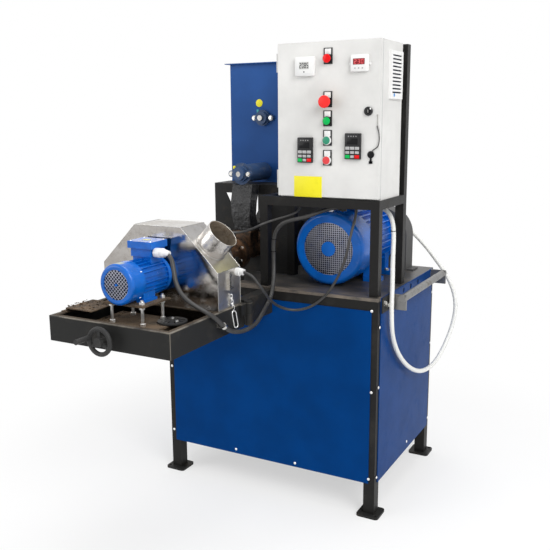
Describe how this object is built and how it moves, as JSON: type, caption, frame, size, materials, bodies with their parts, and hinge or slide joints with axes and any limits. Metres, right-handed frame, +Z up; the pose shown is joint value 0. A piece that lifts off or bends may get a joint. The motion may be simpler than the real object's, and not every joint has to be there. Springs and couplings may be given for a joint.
{
  "type": "feed extruder",
  "caption": "Free-standing feed extruder: hopper with feed screw, heated barrel, belt-driven main motor, control cabinet and a swing-out cutter with its own motor and handwheel.",
  "frame": {"origin": "on the floor at the centre of the base, the centre of the four anchor holes", "axes": "+X to the right along the front, +Y to the back, +Z up"},
  "size_m": [0.9549, 1.3653, 1.586],
  "materials": {
    "black_paint": "satin, worn",
    "blue_paint": "gloss powder coat",
    "motor_blue": "gloss enamel",
    "grey_paint": "fine textured powder coat",
    "stainless": "polished stainless",
    "steel": "bare and zinc-plated steel",
    "hot_steel": "heat-tinted steel",
    "black_plastic": "matte",
    "white_plastic": "matte",
    "button_plastic": "gloss",
    "cord_rubber": "matte rubber",
    "white_rubber": "satin hose"
  },
  "bodies": {
    "machine": {"base_legs": "black_paint", "foot_plates": "black_paint", "base_rails": "black_paint", "table_top": "black_paint", "base_panels": "blue_paint", "corner_plate": "black_paint", "push_bar": "steel", "stand_posts": "black_paint", "stand_rails": "black_paint", "cabinet_box": "grey_paint", "mounting_plate": "steel", "cabinet_hinges": "grey_paint", "vent_grille": "white_plastic", "cabinet_glands": "black_plastic", "main_motor": "motor_blue", "main_cowl": "motor_blue", "main_terminal_box": "motor_blue", "belt_guard": "black_paint", "gearbox": "black_paint", "barrel_rear": "hot_steel", "barrel_front": "hot_steel", "heater_bands": "steel", "die_plate": "hot_steel", "barrel_support": "black_paint", "hopper": "blue_paint", "support_plate": "black_paint", "feed_tube": "blue_paint", "bearing_units": "blue_paint", "chute": "black_paint", "hinge_arm": "black_paint", "swing_cord": "cord_rubber", "sensor_cord": "cord_rubber", "heater_cord": "cord_rubber", "white_hose": "white_rubber"},
    "door": {"cabinet_door": "grey_paint", "legend_holders": "black_plastic", "push_buttons": "button_plastic", "drive_keypads": "black_plastic", "door_meters": "white_plastic", "door_lock": "black_plastic"},
    "cutter_unit": {"cutter_tray": "black_paint", "tray_cover": "black_paint", "cutter_housing": "stainless", "spout": "stainless", "housing_latch": "steel", "sensor_plug": "white_plastic", "cord_clip": "steel", "motor_cord": "cord_rubber"},
    "motor_carriage": {"carriage": "black_paint", "motor_plate": "black_paint", "motor_studs": "steel", "cutter_motor": "motor_blue", "cutter_cowl": "motor_blue", "cutter_terminal_box": "motor_blue", "cutter_gland": "white_plastic", "cutter_knife": "steel"},
    "wheel": {"handwheel": "black_paint"},
    "agitator_body": {"agitator": "steel"},
    "screw_body": {"feed_screw": "steel"}
  },
  "joints": [
    {"name": "cutter_swing", "type": "hinge", "parent": "machine", "child": "cutter_unit", "pos_m": [0.052, -0.505, 0.727], "axis": [0, 0, 1], "range_deg": [0, 95], "deforming": ["swing_cord", "sensor_cord"]},
    {"name": "handwheel_turn", "type": "hinge", "parent": "cutter_unit", "child": "wheel", "pos_m": [-0.187, -0.95, 0.718], "axis": [0, 1, 0], "range_deg": [0, 2160]},
    {"name": "carriage_slide", "type": "slide", "parent": "cutter_unit", "child": "motor_carriage", "axis": [0, -1, 0], "range_m": [0, 0.0245], "deforming": ["motor_cord"]},
    {"name": "door_hinge", "type": "hinge", "parent": "machine", "child": "door", "pos_m": [0.039, -0.268, 1.336], "axis": [0, 0, -1], "range_deg": [0, 110]},
    {"name": "agitator_spin", "type": "hinge", "parent": "machine", "child": "agitator_body", "pos_m": [-0.187, 0.1, 1.349], "axis": [0, 1, 0], "continuous": true},
    {"name": "feed_screw_spin", "type": "hinge", "parent": "machine", "child": "screw_body", "pos_m": [-0.187, 0, 1.147], "axis": [0, 1, 0], "continuous": true}
  ],
  "couplings": [
    {"joint": "carriage_slide", "follows": "handwheel_turn", "m_per_rad": 0.00063662}
  ]
}
